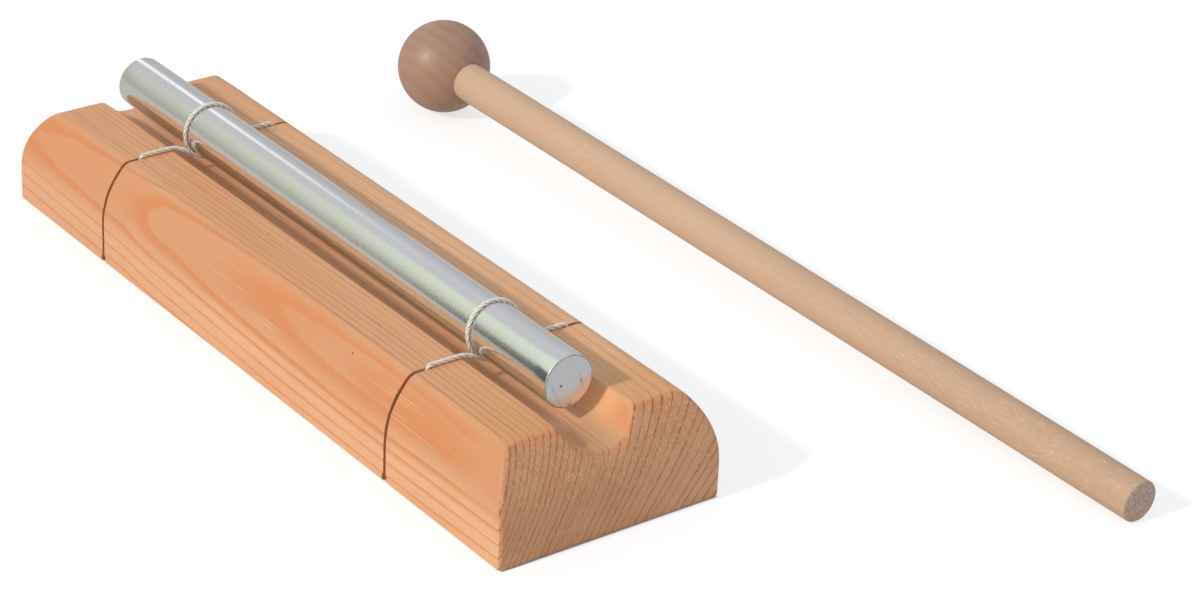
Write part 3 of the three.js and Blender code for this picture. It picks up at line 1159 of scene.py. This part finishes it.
def makeMallet():
    headRadius = mallet["headRadius"]
    handleRadius = mallet["handleRadius"]
    socketRadius = handleRadius + mallet["socketClearance"]
    floor = headRadius - mallet["socketDepth"]
    start = floor + mallet["socketEndGap"]
    end = start + mallet["handleLength"]
    rim = end - mallet["rimRound"]
    dip = math.asin(headRadius / math.hypot(rim, handleRadius)) - math.atan2(handleRadius, rim)
    lie = Matrix.Translation((*mallet["head"], headRadius))
    lie = lie @ Matrix.Rotation(mallet["yaw"], 4, "Z") @ Matrix.Rotation(dip, 4, "Y")

    mouth = math.acos((socketRadius + mallet["mouthRound"]) / headRadius)
    angles = np.linspace(-math.pi / 2, mouth, mallet["ballPoints"])
    ball = [(headRadius * math.sin(a), headRadius * math.cos(a)) for a in angles]
    ball[0] = (-headRadius, 0)
    ball += [(ball[-1][0] - mallet["mouthDepth"], socketRadius), (floor, socketRadius), (floor, 0)]
    points, faces = turned(ball, mallet["ballSides"])
    head = newPiece("mallet_ball", points, faces, [turnedWood()], 50)
    head.matrix_world = lie
    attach(head, "mallet")
    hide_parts("mallet_head")

    ease = mallet["dowelEase"]
    middle = np.linspace(start + ease, end - ease, mallet["dowelPoints"])
    stick = rodProfile(start, end, handleRadius, mallet["rimRound"], middle)
    points, faces = turned(stick, mallet["dowelSides"])
    dowel = newPiece("mallet_dowel", points, faces, [dowelWood()], 40)
    dowel.matrix_world = lie
    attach(dowel, "mallet")
    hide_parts("mallet_handle")
    print("mallet made")


makeMallet()


# Stage: a white floor that keeps a faint shadow, a sun-like lamp and a soft surround
studio = {
    "floorHalf": 6.0,
    "floorSink": 0.05 * mm,
    "floorWhite": 0.8,
    "floorShown": 0.4,  # share of the floor's own shading that the camera sees
    "floorLift": 0.7,
    "lampTravel": (0.0652, 0.8206, -0.5678),
    "lampStrength": 1.54,
    "lampSpread": math.radians(3.5),
    "lampTint": (1.0, 0.955, 0.875),
    "surround": 0.55,
    "shade": (0.935, 0.985, 1.045, 1),
    "white": (1, 1, 1, 1),
    # what the metal mirrors: grey below with a dark patch, grey and pale green above, a line and a glow
    "floorGrey": (194, 191, 184),
    "dark": (92, 91, 88),
    "patchTilt": 0.88,
    "patchEdge": (0.03, 0.17),
    "patchSide": (-0.06, -0.14),
    "patchFront": (0.16, 0.08),
    "greyLow": (182, 182, 185),
    "greyHigh": (203, 203, 206),
    "greyUp": (0.1, 0.75),
    "greenLow": (176, 175, 162),
    "greenNear": (224, 231, 210),
    "greenFar": (202, 205, 188),
    "greenUp": (0.0, 0.66),
    "greenAlong": (-0.69, -0.81),
    "greenSide": (-0.04, -0.24),
    "lineTilt": 0.95,
    "lineEdge": (-0.028, 0.036),
    "lineUp": (0.42, 0.25),
    "lineAlong": (-0.35, -0.5),
    "glow": (1.15, 1.12, 1.08, 1),
    "glowMiddle": 0.325,
    "glowPatch": ((-0.732, -0.785), (0.13, 0.02)),
    # where the floor stays dark below the block
    "underAlong": (0.35 * mm, 0.1 * mm),
    "underAcross": 1 * mm,
}


def whiteFloor():  # white to the eye, grey with a dark patch in the metal
    finish = newFinish("whiteFloor", studio)
    x, y = finish.split(finish.place)[:2]
    halfX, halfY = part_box("base_block")[1].xy
    outer, inner = studio["underAlong"]
    under = finish.smooth(abs(x), halfX + outer, halfX + inner)
    under = under * finish.smooth(abs(y), halfY, halfY - studio["underAcross"])
    plain = finish.node("BsdfDiffuse", None, {"Color": (studio["floorWhite"],) * 3 + (1,)})
    shown = finish.node("BsdfDiffuse", None, {"Color": (studio["floorShown"],) * 3 + (1,)})
    lift = finish.node("Emission", None, {"Color": studio["white"], "Strength": studio["floorLift"]})
    bright = finish.blend(under, finish.node("AddShader", None, {0: shown, 1: lift}), plain)
    patch = finish.ramp(x * studio["patchTilt"] - y, "patchEdge")
    patch = patch * finish.ramp(y, "patchSide") * finish.ramp(x, "patchFront")
    tone = finish.coats("floorGrey", (patch, "dark"))
    mirrored = finish.node("Emission", None, {"Color": tone})
    finish.node("OutputMaterial", None, {"Surface": finish.bySight(plain, mirrored, bright)})
    return finish.owner


def makeFloor():
    half = studio["floorHalf"]
    points = [(-half, -half, 0), (half, -half, 0), (half, half, 0), (-half, half, 0)]
    floor = newPiece("floor", points, [(0, 1, 2, 3)], [whiteFloor()])
    floor.location.z = -studio["floorSink"]


def makeLamp():
    data = bpy.data.lights.new("lamp", "SUN")
    data.energy = studio["lampStrength"]
    data.angle = studio["lampSpread"]
    data.color = studio["lampTint"]
    lamp = bpy.data.objects.new("lamp", data)
    bpy.context.scene.collection.objects.link(lamp)
    lamp.rotation_euler = Vector(studio["lampTravel"]).to_track_quat("-Z", "Y").to_euler()


def makeSurround():  # white to the eye, soft light on the object
    world = bpy.data.worlds.new("surround")
    bpy.context.scene.world = world
    finish = Finish(world, studio)
    x, y, z = finish.split(finish.node("TexCoord", out="Generated"))
    green = finish.coats("greenNear", (finish.ramp(x, "greenAlong"), "greenFar"))
    line = finish.ramp(x * studio["lineTilt"] - y, "lineEdge") * finish.ramp(z, "lineUp")
    glow = finish.patch(x, abs(y - studio["glowMiddle"]), "glowPatch")
    tone = finish.coats(
        finish.coats("greyLow", (finish.ramp(z, "greyUp"), "greyHigh")),
        (finish.ramp(y, "greenSide"), finish.coats("greenLow", (finish.ramp(z, "greenUp"), green))),
        (line * finish.ramp(x, "lineAlong") * 0.92, "dark"),
        (glow * 0.85, studio["glow"]),
    )
    mirror = finish.node("Background", None, {"Color": tone})
    soft = finish.node("Background", None, {"Color": studio["shade"], "Strength": studio["surround"]})
    white = finish.node("Background", None, {"Color": studio["white"]})
    finish.node("OutputWorld", None, {"Surface": finish.bySight(soft, mirror, white)})


makeFloor()
makeLamp()
makeSurround()
bpy.context.scene.view_settings.view_transform = "Standard"
print("stage set")
